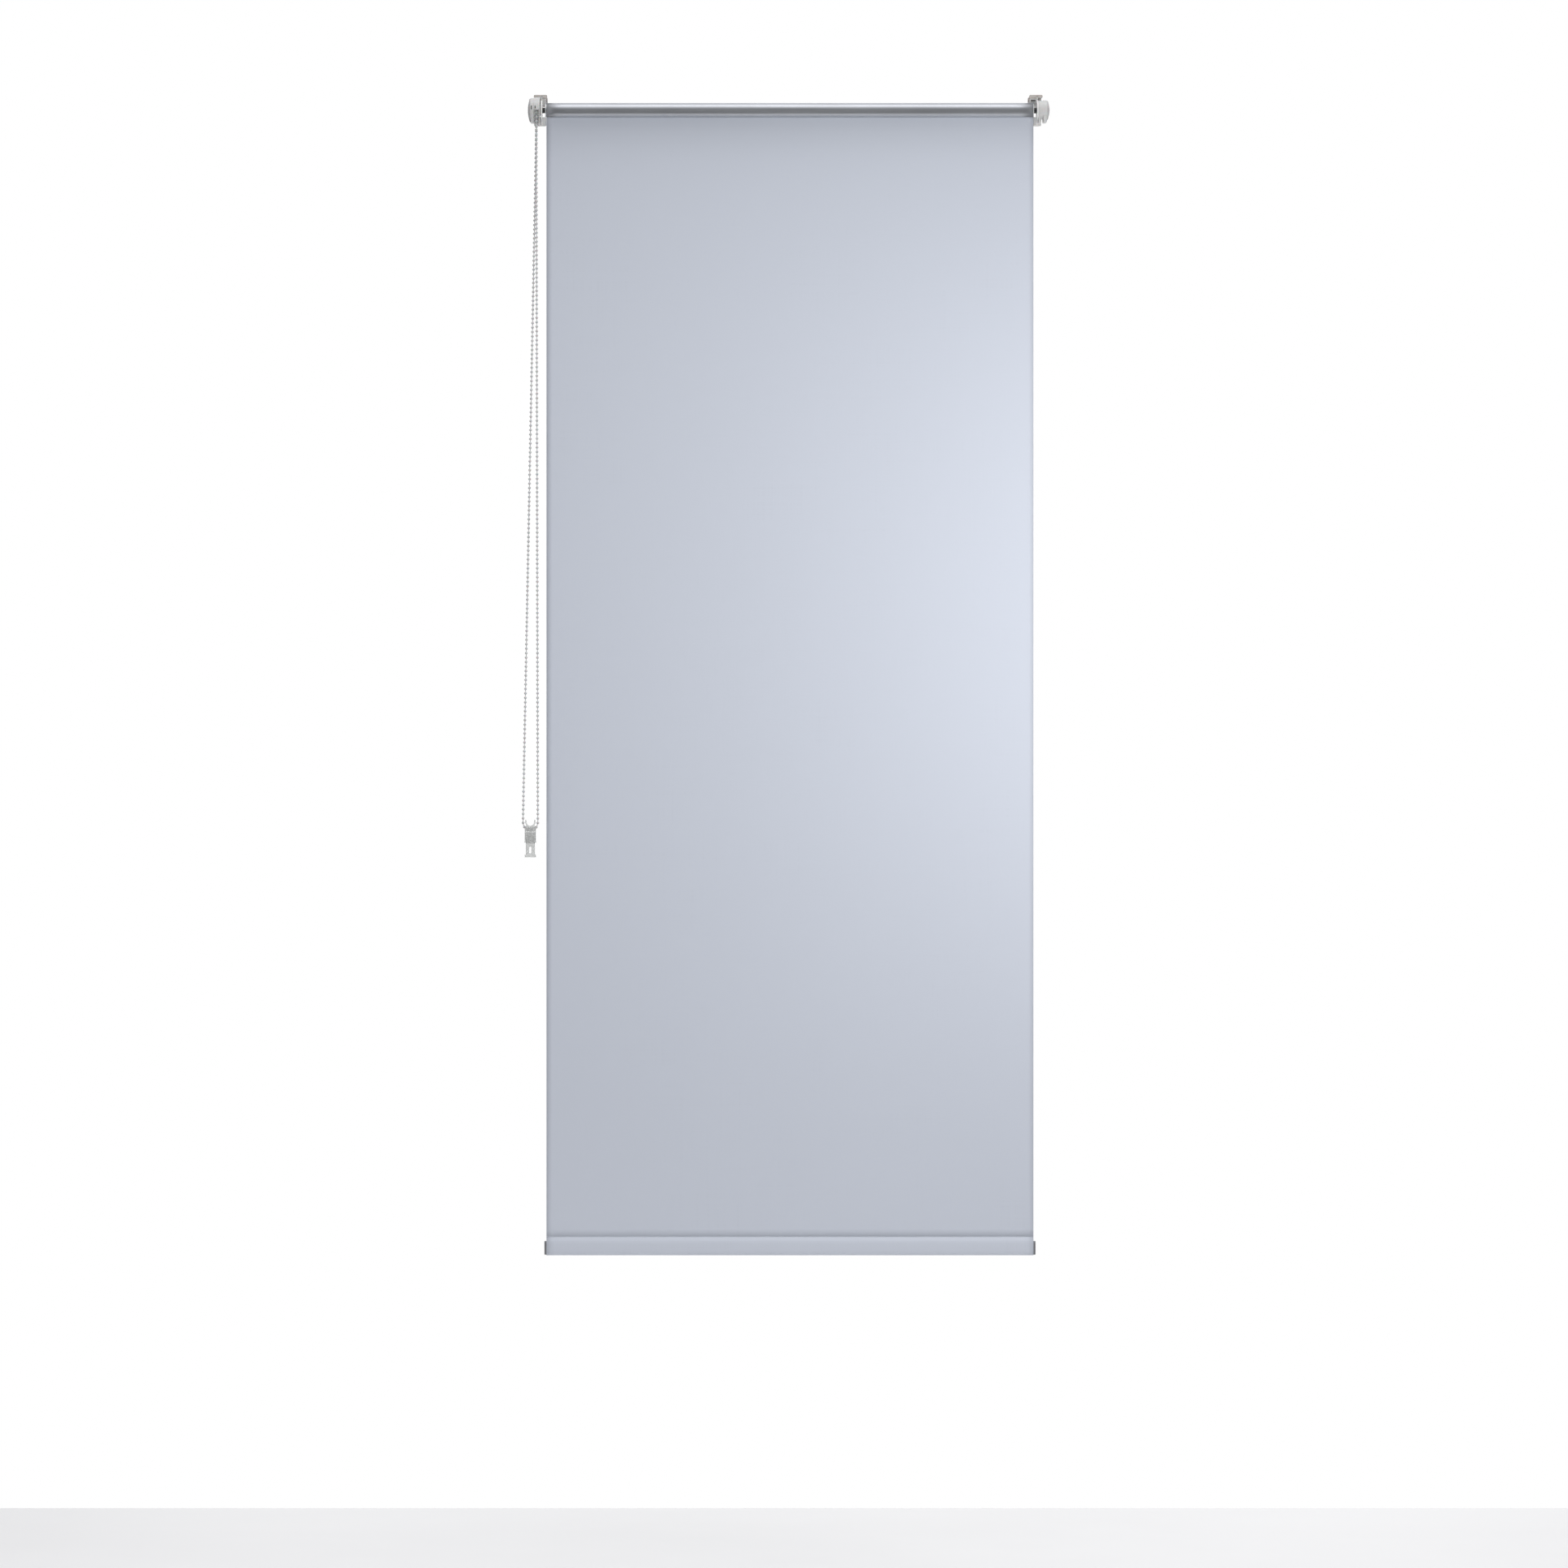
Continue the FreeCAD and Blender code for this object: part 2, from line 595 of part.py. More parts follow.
def tensioner_body():
    """Holder: two cheeks and a U-shaped saddle that the chain turns round, open below for the base."""
    depth = holder_half_depth
    block = box(loop_x - holder_half_width, loop_x + holder_half_width, roller_y - depth, roller_y + depth,
                holder_bottom_z, holder_top_z)
    block = soften(block, 1.2, lambda e: along(e, UP))
    lip = box(loop_x - holder_half_width - 0.4, loop_x + holder_half_width + 0.4, roller_y - depth - 0.4,
              roller_y + depth + 0.4, holder_bottom_z, holder_bottom_z + 1.6)
    lip = soften(lip, 0.6, lambda e: along(e, UP))
    horn_top = loop_turn_z + horn_height
    upper = box(loop_x - saddle_outer, loop_x + saddle_outer, roller_y - depth, roller_y + depth,
                loop_turn_z, horn_top)
    upper = soften(upper, 1.0, lambda e: along(e, V(0, 1, 0)) and e.BoundBox.ZMin > loop_turn_z + 1)
    webs = [box(loop_x - 5.2, loop_x + 5.2, y - 1.1, y + 1.1, holder_top_z - 1, loop_turn_z - 3.5)
            for y in (roller_y - depth + 1.1, roller_y + depth - 1.1)]
    saddle = fuse(saddle_half_disc(), upper, *webs)
    notch = fuse(disc_y(saddle_inner, depth + 2),
                 box(loop_x - saddle_inner, loop_x + saddle_inner, roller_y - 9, roller_y + 9,
                     loop_turn_z, horn_top + 1))
    channel = cut(disc_y(11.9, 2.3), disc_y(saddle_outer, 3))
    half, deep = base_half_width + 0.2, base_half_depth + 0.2
    mouth = box(loop_x - half, loop_x + half, roller_y - deep, roller_y + deep, holder_bottom_z - 1,
                base_top_z + 6.3)
    return cut(fuse(cut(block, channel), lip, saddle), notch, mouth)


def saddle_half_disc():
    """Lower half of the saddle's disc."""
    below = box(loop_x - 9, loop_x + 9, roller_y - 9, roller_y + 9, loop_turn_z - 9, loop_turn_z)
    return disc_y(saddle_outer, holder_half_depth).common(below)


def tensioner_base():
    """Foot that screws to the wall: it slides in the holder and keeps the chain loop out of reach."""
    tongue = box(loop_x - base_half_width, loop_x + base_half_width, roller_y - base_half_depth,
                 roller_y + base_half_depth, base_bottom_z + 2, base_top_z)
    tongue = soften(tongue, 0.8, lambda e: along(e, UP))
    foot = box(loop_x - 6.8, loop_x + 6.8, roller_y - 4.6, roller_y + 4.6,
               base_bottom_z, base_bottom_z + 3.4)
    foot = soften(foot, 1.0, lambda e: along(e, UP))
    slot_x = loop_x - 0.2
    low, high = base_bottom_z + 6.0, base_bottom_z + 11.8
    slot = fuse(disc_y(1.3, 9, slot_x, low), disc_y(1.3, 9, slot_x, high),
                box(slot_x - 1.3, slot_x + 1.3, roller_y - 9, roller_y + 9, low, high))
    return cut(fuse(tongue, foot), slot)


save("tensioner_body", tensioner_body())
save("tensioner_base", tensioner_base())
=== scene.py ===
import json
import math

import bmesh
import bpy
from mathutils import Matrix, Vector


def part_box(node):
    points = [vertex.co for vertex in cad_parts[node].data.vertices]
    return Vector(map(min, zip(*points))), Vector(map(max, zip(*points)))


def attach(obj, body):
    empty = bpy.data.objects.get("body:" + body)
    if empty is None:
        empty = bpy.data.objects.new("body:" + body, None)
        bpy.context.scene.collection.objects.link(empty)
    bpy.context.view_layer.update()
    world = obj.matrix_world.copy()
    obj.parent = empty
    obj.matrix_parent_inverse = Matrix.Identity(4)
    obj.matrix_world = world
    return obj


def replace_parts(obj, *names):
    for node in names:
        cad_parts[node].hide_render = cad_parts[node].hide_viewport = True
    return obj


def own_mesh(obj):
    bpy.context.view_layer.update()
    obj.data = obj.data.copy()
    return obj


# Looks of a clamp-on roller blind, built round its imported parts.
# Metres: +X right along the roller, +Y to the window, +Z up.

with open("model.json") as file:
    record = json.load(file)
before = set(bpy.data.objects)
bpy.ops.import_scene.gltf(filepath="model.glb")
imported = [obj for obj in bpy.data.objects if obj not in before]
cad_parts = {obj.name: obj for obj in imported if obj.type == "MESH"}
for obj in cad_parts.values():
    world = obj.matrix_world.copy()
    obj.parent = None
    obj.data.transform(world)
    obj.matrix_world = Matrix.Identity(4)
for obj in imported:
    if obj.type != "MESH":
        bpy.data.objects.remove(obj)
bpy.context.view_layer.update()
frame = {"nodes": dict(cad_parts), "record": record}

MM = 0.001
CLOTH_THICK = 0.4 * MM
BEAD_RADIUS = 1.7 * MM
STRING_RADIUS = 0.5 * MM
BEAD_PITCH = 5.5 * MM
FIRST_BEAD = 2.25 * MM      # from the place where the chain leaves the drive
THREAD_ACROSS, THREAD_DOWN = 0.55 * MM, 0.6 * MM
WELD_PITCH, WELD_DASH = 2.4 * MM, 0.62

panel_low, panel_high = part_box("fabric_panel")
roll_low, roll_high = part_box("wound_fabric")
hem_low, hem_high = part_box("hem_pocket")
tube_low, tube_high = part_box("roller_tube")
roll_y = (roll_low.y + roll_high.y) / 2
roll_z = (roll_low.z + roll_high.z) / 2
tube_radius = (tube_high.z - tube_low.z) / 2
roll_radius = (roll_high.z - roll_low.z) / 2
hem_y = (hem_low.y + hem_high.y) / 2
weld_z = hem_high.z


# --- Finishes ---

MIX_FACTOR, MIX_A, MIX_B, MIX_RESULT = 0, 6, 7, 2      # colour sockets of the Mix node


class Finish:
    """A node material with its shader, object coordinates and a few ways to vary them."""

    def __init__(self, name, colour, roughness, metallic=0.0):
        self.material = bpy.data.materials.new(name)
        self.material.use_nodes = True
        self.tree = self.material.node_tree
        self.shader = self.tree.nodes["Principled BSDF"]
        self.shader.inputs["Base Color"].default_value = (*colour, 1)
        self.shader.inputs["Roughness"].default_value = roughness
        self.shader.inputs["Metallic"].default_value = metallic
        self.colour = colour
        self.place = self.add("ShaderNodeTexCoord").outputs["Object"]

    def add(self, kind, **settings):
        node = self.tree.nodes.new(kind)
        for key, value in settings.items():
            setattr(node, key, value)
        return node

    def link(self, source, target):
        self.tree.links.new(source, target)

    def set(self, **values):
        """Constant values on the shader's own sockets."""
        for key, value in values.items():
            self.shader.inputs[key.replace("_", " ")].default_value = value
        return self

    def stretched(self, scale):
        mapping = self.add("ShaderNodeMapping")
        mapping.inputs["Scale"].default_value = scale
        self.link(self.place, mapping.inputs["Vector"])
        return mapping.outputs["Vector"]

    def noise(self, scale, detail=3.0, stretch=(1, 1, 1)):
        """Noise with about this many lumps per metre."""
        node = self.add("ShaderNodeTexNoise")
        node.inputs["Scale"].default_value = scale
        node.inputs["Detail"].default_value = detail
        self.link(self.stretched(stretch), node.inputs["Vector"])
        return node.outputs["Fac"]

    def threads(self, pitch, direction):
        """Fine parallel threads across one axis."""
        node = self.add("ShaderNodeTexWave", wave_type="BANDS", bands_direction=direction)
        node.inputs["Scale"].default_value = 2 * math.pi / (20 * pitch)
        node.inputs["Distortion"].default_value = 1.2
        node.inputs["Detail"].default_value = 2
        node.inputs["Detail Scale"].default_value = 0.6
        self.link(self.place, node.inputs["Vector"])
        return node.outputs["Fac"]

    def math(self, operation, a, b):
        node = self.add("ShaderNodeMath", operation=operation)
        for socket, value in zip(node.inputs, (a, b)):
            if isinstance(value, (int, float)):
                socket.default_value = value
            else:
                self.link(value, socket)
        return node.outputs[0]

    def axis(self, letter):
        split = self.add("ShaderNodeSeparateXYZ")
        self.link(self.place, split.inputs[0])
        return split.outputs[letter]

    def spread(self, source, low, high, from_low=0.25, from_high=0.75):
        """Source stretched onto a range of values."""
        node = self.add("ShaderNodeMapRange")
        node.inputs["From Min"].default_value = from_low
        node.inputs["From Max"].default_value = from_high
        node.inputs["To Min"].default_value = low
        node.inputs["To Max"].default_value = high
        self.link(source, node.inputs["Value"])
        return node.outputs["Result"]

    def tint(self, source, low, high):
        """Colour between two shades of the finish as source goes from 0 to 1."""
        mix = self.add("ShaderNodeMix", data_type="RGBA")
        mix.inputs[MIX_A].default_value = (*[c * low for c in self.colour], 1)
        mix.inputs[MIX_B].default_value = (*[min(1, c * high) for c in self.colour], 1)
        self.link(source, mix.inputs[MIX_FACTOR])
        return mix.outputs[MIX_RESULT]

    def over(self, base, source, colour):
        """A flat colour laid over another where source is 1."""
        mix = self.add("ShaderNodeMix", data_type="RGBA")
        self.link(source, mix.inputs[MIX_FACTOR])
        self.link(base, mix.inputs[MIX_A])
        mix.inputs[MIX_B].default_value = (*colour, 1)
        return mix.outputs[MIX_RESULT]

    def paint(self, source):
        self.link(source, self.shader.inputs["Base Color"])
        return self

    def rough(self, source):
        self.link(source, self.shader.inputs["Roughness"])
        return self

    def bump(self, source, depth, strength=1.0):
        node = self.add("ShaderNodeBump")
        node.inputs["Strength"].default_value = strength
        node.inputs["Distance"].default_value = depth
        self.link(source, node.inputs["Height"])
        self.link(node.outputs["Normal"], self.shader.inputs["Normal"])
        return self


def moulded_plastic(name, colour, roughness):
    """Satin moulding: faint flow clouds, fine grain and uneven gloss."""
    f = Finish(name, colour, roughness)
    clouds = f.noise(90, 4)
    grain = f.noise(2600, 2)
    f.paint(f.tint(f.spread(clouds, 0, 1), 0.95, 1.03))
    f.rough(f.spread(clouds, roughness - 0.07, roughness + 0.08))
    f.bump(f.math("ADD", grain, f.math("MULTIPLY", clouds, 0.8)), 0.00004)
    return f.set(IOR=1.49, Subsurface_Weight=0.08, Subsurface_Scale=0.002).material


def drawn_metal(name, colour, roughness):
    """Metal with fine drawing lines along X and a little stain."""
    f = Finish(name, colour, roughness, 1.0)
    lines = f.noise(1500, 3, (1 / 60, 1, 1))
    stain = f.noise(160, 4)
    f.paint(f.tint(f.spread(stain, 0, 1), 0.86, 1.05))
    f.rough(f.spread(lines, roughness - 0.08, roughness + 0.12))
    return f.bump(lines, 0.00001).material


def crossed_threads(f):
    """Height of a plain weave, highest where two threads cross."""
    return f.math("MULTIPLY", f.threads(THREAD_ACROSS, "X"), f.threads(THREAD_DOWN, "Z"))


def woven_cloth():
    """Plain-woven polyester, room side: fine crossing threads, faint slubs and a soft sheen."""
    f = Finish("blue_grey_cloth", (0.590, 0.625, 0.700), 0.52)
    weave = crossed_threads(f)
    slub_up = f.noise(420, 3, (1, 1, 0.02))
    slub_across = f.noise(420, 3, (0.02, 1, 1))
    slubs = f.math("ADD", slub_up, slub_across)
    clouds = f.noise(5, 2)
    shade = f.math("ADD", f.math("MULTIPLY", slubs, 0.5), f.math("MULTIPLY", clouds, 0.5))
    f.paint(welded(f, f.tint(f.spread(shade, 0, 1, 0.35, 0.65), 0.975, 1.02)))
    f.rough(f.spread(slubs, 0.46, 0.60, 0.7, 1.3))
    height = f.math("ADD", f.math("MULTIPLY", weave, 0.5), slubs)
    f.bump(f.math("SUBTRACT", height, f.math("MULTIPLY", weld_marks(f), 3)), 0.00006, 0.55)
    return f.set(Sheen_Weight=0.25, Sheen_Roughness=0.4, Sheen_Tint=(0.85, 0.9, 1, 1)).material


def weld_marks(f):
    """Row of small dashes pressed along the top of the hem pocket: 1 on a dash, 0 off it."""
    above = f.math("SUBTRACT", f.axis("Z"), weld_z - 0.6 * MM)
    in_row = f.math("LESS_THAN", f.math("ABSOLUTE", above, 0), 0.5 * MM)
    step = f.math("FRACT", f.math("MULTIPLY", f.axis("X"), 1 / WELD_PITCH), 0)
    return f.math("MULTIPLY", in_row, f.math("LESS_THAN", step, WELD_DASH))


def welded(f, base):
    """The base colour with the weld's dashes a little darker."""
    return f.over(base, f.math("MULTIPLY", weld_marks(f), 0.55), (0.36, 0.385, 0.44))


def silver_coating():
    """Window side: a thin silver coating that shows the weave below it."""
    f = Finish("silver_coating", (0.50, 0.515, 0.545), 0.34, 0.75)
    weave = crossed_threads(f)
    streaks = f.noise(240, 3, (0.03, 1, 1))
    clouds = f.noise(14, 3)
    f.paint(f.tint(f.spread(f.math("ADD", streaks, clouds), 0, 1, 0.7, 1.3), 0.92, 1.05))
    f.rough(f.spread(streaks, 0.28, 0.42))
    return f.bump(f.math("ADD", f.math("MULTIPLY", weave, 0.5), streaks), 0.00002, 0.35).material


def glossy_beads():
    f = Finish("bead_plastic", (0.60, 0.605, 0.61), 0.22)
    clouds = f.noise(500, 3)
    f.paint(f.tint(f.spread(clouds, 0, 1), 0.93, 1.04))
    f.rough(f.spread(clouds, 0.16, 0.32))
    f.bump(f.noise(3000, 2), 0.00002)
    return f.set(IOR=1.5, Subsurface_Weight=0.15, Subsurface_Scale=0.001).material


def twisted_string():
    """Polyester string with its twist, on object coordinates along Z."""
    f = Finish("chain_string", (0.66, 0.66, 0.67), 0.75)
    twist = f.threads(0.0012, "Z")
    f.paint(f.tint(twist, 0.8, 1.04))
    f.rough(f.spread(f.noise(2000, 2), 0.65, 0.85))
    return f.bump(twist, 0.00012).material


def clear_moulding():
    """Clear moulding, a little cloudy in the thick places."""
    f = Finish("clear_plastic", (0.80, 0.81, 0.80), 0.12)
    flow = f.noise(160, 3, (1, 1, 0.4))
    f.paint(f.tint(f.spread(flow, 0, 1), 0.94, 1.02))
    f.rough(f.spread(flow, 0.06, 0.2))
    f.bump(flow, 0.00008)
    return f.set(Transmission_Weight=0.5, IOR=1.49, Coat_Weight=0.3, Coat_Roughness=0.06).material


def closed_cell_foam():
    f = Finish("foam", (0.78, 0.78, 0.77), 0.9)
    cells = f.noise(1400, 4)
    f.paint(f.tint(f.spread(cells, 0, 1), 0.82, 1.05))
    f.rough(f.spread(cells, 0.82, 0.97))
    return f.bump(cells, 0.0002).material


def adhesive_tape():
    f = Finish("adhesive_tape", (0.80, 0.77, 0.68), 0.4)
    fibres = f.noise(500, 4, (0.2, 1, 1))
    f.paint(f.tint(f.spread(fibres, 0, 1), 0.9, 1.05))
    f.rough(f.spread(fibres, 0.3, 0.55))
    return f.bump(fibres, 0.00004).material


white_plastic = moulded_plastic("white_plastic", (0.62, 0.62, 0.615), 0.3)
# Carrier plastic: a lighter copy of the white plastic, painted light that keeps the carriers' blades bright
# where they stand in the shade of the guards.
painted_light_carrier_plastic = moulded_plastic("painted_light_carrier_plastic", (0.78, 0.775, 0.765), 0.36)
# Hook plastic: the white moulding darkened to a brownish grey, painted shade for the shadow that lies on
# the hook's top plate and leg.
hook_plastic = moulded_plastic("hook_plastic", (0.56, 0.53, 0.505), 0.42)
pale_plastic = moulded_plastic("pale_plastic", (0.64, 0.64, 0.635), 0.4)
black_plastic = moulded_plastic("black_plastic", (0.035, 0.034, 0.036), 0.36)
grey_plastic = moulded_plastic("grey_plastic", (0.19, 0.195, 0.21), 0.45)
zinc_steel = drawn_metal("zinc_steel", (0.66, 0.655, 0.63), 0.32)
spring_steel = drawn_metal("spring_steel", (0.50, 0.505, 0.52), 0.3)
tube_aluminium = drawn_metal("tube_aluminium", (0.74, 0.75, 0.77), 0.3)
cloth = woven_cloth()
silver = silver_coating()
bead_plastic = glossy_beads()
chain_string = twisted_string()
clear_plastic = clear_moulding()
foam = closed_cell_foam()
tape = adhesive_tape()

finish_of = {
    "white_plastic": white_plastic, "hook_plastic": hook_plastic, "pale_plastic": pale_plastic,
    "black_plastic": black_plastic, "grey_plastic": grey_plastic, "zinc_steel": zinc_steel,
    "spring_steel": spring_steel, "tube_aluminium": tube_aluminium, "foam_pad": foam,
    "adhesive": tape, "bead_plastic": bead_plastic, "clear_plastic": clear_plastic,
    "silver_backing": silver, "blue_grey_fabric": cloth,
}
for part in frame["record"]["subparts"]:
    node = frame["nodes"][part["node"]]
    node.data.materials.clear()
    node.data.materials.append(finish_of[part["material_slot"]])
# The carriers take the lighter copy of the white plastic: painted light on their blades.
for carrier in ("left_carrier", "right_carrier"):
    frame["nodes"][carrier].data.materials[0] = painted_light_carrier_plastic


# --- Making pieces ---

def piece(name, bm, body, slot, *materials):
    """Turns a bmesh into a finished object that rides on a body."""
    mesh = bpy.data.meshes.new(name)
    bm.to_mesh(mesh)
    bm.free()
    for material in materials:
        mesh.materials.append(material)
    for polygon in mesh.polygons:
        polygon.use_smooth = True
    obj = bpy.data.objects.new(name, mesh)
    bpy.context.scene.collection.objects.link(obj)
    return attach(obj, body)


def cloth_wall(obj, thickness=CLOTH_THICK, offset=-1.0, inner=1, rim=0):
    """Gives a single layer of cloth its thickness, with another finish on the far side."""
    wall = obj.modifiers.new("thickness", "SOLIDIFY")
    wall.thickness = thickness
    wall.offset = offset
    wall.material_offset = inner
    wall.material_offset_rim = rim
    return obj


def draw_along(bm, edges, length, steps):
    """Draws edges out along X in equal steps."""
    for _ in range(steps):
        made = bmesh.ops.extrude_edge_only(bm, edges=edges)
        moved = [g for g in made["geom"] if isinstance(g, bmesh.types.BMVert)]
        edges = [g for g in made["geom"] if isinstance(g, bmesh.types.BMEdge)]
        bmesh.ops.translate(bm, verts=moved, vec=(length / steps, 0, 0))


def face_away_from_axis(bm):
    """Turns the faces of an open shell away from the roller axis that it lies round."""
    bmesh.ops.recalc_face_normals(bm, faces=bm.faces)
    face = bm.faces[:][0]
    if face.normal.dot(face.calc_center_median() - Vector((0, roll_y, roll_z))) < 0:
        bmesh.ops.reverse_faces(bm, faces=bm.faces)


def quarter_turns(v):
    """Angle of a point about the roller axis, from the window side over the top, in quarter turns."""
    return math.atan2(v.co.z - roll_z, v.co.y - roll_y) / (math.pi / 2)


def put_on_roll(v, radius, turn):
    """Moves a point to a radius and an angle, in quarter turns, about the roller axis."""
    angle = turn * math.pi / 2
    v.co.y, v.co.z = roll_y + radius * math.cos(angle), roll_z + radius * math.sin(angle)


# --- Camera first, then the chain ---

VIEW_WIDTH = 1.932          # of the hanging cloth's plane
VIEW_CENTRE_X, VIEW_CENTRE_Z = -0.0073, -0.845
CAMERA_X, CAMERA_DISTANCE = -0.16, 8.0
SENSOR_WIDTH = 36

camera = bpy.data.objects.new("camera", bpy.data.cameras.new("camera"))
bpy.context.scene.collection.objects.link(camera)
camera.location = (CAMERA_X, panel_low.y - CAMERA_DISTANCE, VIEW_CENTRE_Z)
camera.rotation_euler = (math.radians(90), 0, 0)
camera.data.sensor_width = SENSOR_WIDTH
camera.data.lens = SENSOR_WIDTH * CAMERA_DISTANCE / VIEW_WIDTH
camera.data.shift_x = (VIEW_CENTRE_X - CAMERA_X) / VIEW_WIDTH
camera.data.clip_start, camera.data.clip_end = 0.05, 60
bpy.context.scene.camera = camera

# The free chain: down from the front of the wheel, round the saddle, and up to the back of the wheel.
chain_route = [
    (-0.3121, -0.030504, -0.022),
    (-0.310385, -0.02023, -0.88095),
    (-0.31035, -0.020, -0.90095),
    (-0.32885, -0.020, -0.90095),
    (-0.32847, -0.01976, -0.88095),
    (-0.3121, -0.009496, -0.022),
]


def centre_line(route):
    """Points along the smooth line that the route steers."""
    curve = bpy.data.curves.new("chain_line", "CURVE")
    curve.dimensions = "3D"
    spline = curve.splines.new("NURBS")
    spline.points.add(len(route) - 1)
    for point, place in zip(spline.points, route):
        point.co = (*place, 1)
    spline.order_u = 3
    spline.use_endpoint_u = True
    curve.resolution_u = 48
    holder = bpy.data.objects.new("chain_line", curve)
    mesh = bpy.data.meshes.new_from_object(holder)
    points = [v.co.copy() for v in mesh.vertices]
    bpy.data.meshes.remove(mesh)
    return curve, holder, points


def string_of_beads():
    """Thin string with a small ball every pitch, as one mesh."""
    curve, holder, line = centre_line(chain_route)
    curve.bevel_depth = STRING_RADIUS
    curve.bevel_resolution = 1
    string = bpy.data.meshes.new_from_object(holder)
    bm = bmesh.new()
    bm.from_mesh(string)
    bpy.data.objects.remove(holder)
    bpy.data.curves.remove(curve)
    bpy.data.meshes.remove(string)
    for face in bm.faces:
        face.material_index = 1

    ball = bmesh.new()
    bmesh.ops.create_uvsphere(ball, u_segments=10, v_segments=7, radius=BEAD_RADIUS)
    bead = bpy.data.meshes.new("bead")
    ball.to_mesh(bead)
    ball.free()

    lengths = [(b - a).length for a, b in zip(line, line[1:])]
    total = sum(lengths)
    count = round((total - 2 * FIRST_BEAD) / BEAD_PITCH)
    pitch = (total - 2 * FIRST_BEAD) / count
    done, step = 0.0, 0
    for k in range(count + 1):
        along = FIRST_BEAD + k * pitch
        while step < len(lengths) - 1 and done + lengths[step] < along:
            done += lengths[step]
            step += 1
        share = (along - done) / lengths[step]
        place = line[step].lerp(line[step + 1], share)
        heading = (line[step + 1] - line[step]).to_track_quat("Z", "Y").to_matrix().to_4x4()
        strung = Matrix.Translation(place) @ heading
        bead.transform(strung)
        bm.from_mesh(bead)
        bead.transform(strung.inverted())
    bpy.data.meshes.remove(bead)
    return bm, line


beads, chain_line = string_of_beads()
free_chain = piece("free_chain", beads, "chain_loop", "bead_plastic", bead_plastic, chain_string)
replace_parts(free_chain, "bead_chain")


# --- Hanging cloth ---

def smooth_step(value):
    value = min(1.0, max(0.0, value))
    return value * value * (3 - 2 * value)


CURLED_EDGE = 14 * MM
STILL_TOP, STILL_FOOT = 0.16, 0.12      # where the roll and the hem hold the cloth flat


def cloth_stand_off(x, z):
    """How far the cloth stands towards the window at a place, from its slight waves and edge curl."""
    free = smooth_step((panel_high.z - z) / STILL_TOP) * smooth_step((z - panel_low.z) / STILL_FOOT)
    swell = 1 + math.sin(2 * math.pi * (x / 0.46 + 0.12) + 0.6 * math.sin(2.1 * z))
    ripple = 1 + math.sin(2 * math.pi * (x / 0.21 + 0.35 * z))
    billow = 1 + math.sin(2 * math.pi * (z + 0.15 * x) / 0.9)
    curl = max(0.0, abs(x) - (panel_high.x - CURLED_EDGE)) / CURLED_EDGE
    return free * (0.3 * swell + 0.12 * ripple + 0.3 * billow + 0.12 * curl * curl) * MM


def hanging_cloth():
    bm = bmesh.new()
    bmesh.ops.create_grid(bm, x_segments=80, y_segments=150, size=0.5)
    width, height = panel_high.x - panel_low.x, panel_high.z - panel_low.z
    for v in bm.verts:
        x = v.co.x * width + (panel_low.x + panel_high.x) / 2
        z = v.co.y * height + (panel_low.z + panel_high.z) / 2
        v.co = (x, panel_low.y + cloth_stand_off(x, z), z)
    bmesh.ops.recalc_face_normals(bm, faces=bm.faces)
    if bm.faces[:][0].normal.y > 0:
        bmesh.ops.reverse_faces(bm, faces=bm.faces)
    obj = piece("hanging_cloth", bm, "brackets", "blue_grey_fabric", cloth, silver)
    cloth_wall(obj)
    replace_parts(obj, "fabric_panel")
    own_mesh(obj)
    return obj


LEAD_GAP, LEAD_RISE = 0.04 * MM, 0.3 * MM       # over the roll, at its top and at its back


def cloth_lead():
    """The strip of cloth that leads over the back of the roll down to the hanging cloth."""
    bm = bmesh.new()
    crest = bm.verts.new((panel_low.x, roll_y, roll_z + roll_radius + LEAD_RISE))
    bmesh.ops.spin(bm, geom=[crest], cent=(0, roll_y, roll_z), axis=(1, 0, 0), angle=-math.pi / 2, steps=14)
    for v in bm.verts:
        turn = quarter_turns(v)
        put_on_roll(v, roll_radius + LEAD_GAP + (LEAD_RISE - LEAD_GAP) * (1 - turn) ** 2, turn)
    draw_along(bm, bm.edges[:], panel_high.x - panel_low.x, 1)
    face_away_from_axis(bm)
    obj = piece("cloth_lead", bm, "brackets", "silver_backing", silver, cloth)
    return cloth_wall(obj, CLOTH_THICK, 1.0, 1, 1)


hanging = hanging_cloth()
lead = cloth_lead()


# --- Cloth on the tube ---

WINDING_STEP = 0.12 * MM      # how much the outer turn closes in on its way round
TUBE_GAP = 0.14 * MM


def cloth_roll():
    """Cloth round the tube, silver side out, its outer turn stepping in a little at the back."""
    bm = bmesh.new()
    across_axis = Matrix.Translation((roll_low.x, roll_y, roll_z)) @ Matrix.Rotation(math.pi / 2, 4, "Y")
    bmesh.ops.create_circle(bm, segments=72, radius=1.0, matrix=across_axis)
    for v in bm.verts:
        turn = quarter_turns(v) % 4
        put_on_roll(v, roll_radius - WINDING_STEP * turn / 4, turn)
    draw_along(bm, bm.edges[:], roll_high.x - roll_low.x, 24)
    face_away_from_axis(bm)
    obj = piece("cloth_roll", bm, "roller", "silver_backing", silver, cloth)
    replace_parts(obj, "wound_fabric")
    return cloth_wall(obj, roll_radius - tube_radius - TUBE_GAP, -1.0, 1, 1)


roll = cloth_roll()


# --- Hem ---

# Half of the pocket's section in millimetres: distance from its middle, and height from the weld.
HEM_SECTION = [(0.20, 0.0), (0.42, -1.2), (1.10, -2.6), (2.10, -4.6), (2.62, -7.0), (2.78, -10.5),
               (2.80, -14.5), (2.74, -18.0), (2.45, -20.6), (1.75, -22.2), (0.80, -22.95), (0.0, -23.1)]
PUCKER_PITCH, PUCKER_DEPTH = 41 * MM, 0.06 * MM
PUCKER_BELOW, PUCKER_SPREAD = 3 * MM, 2.2 * MM
HEM_THICK = 0.36 * MM


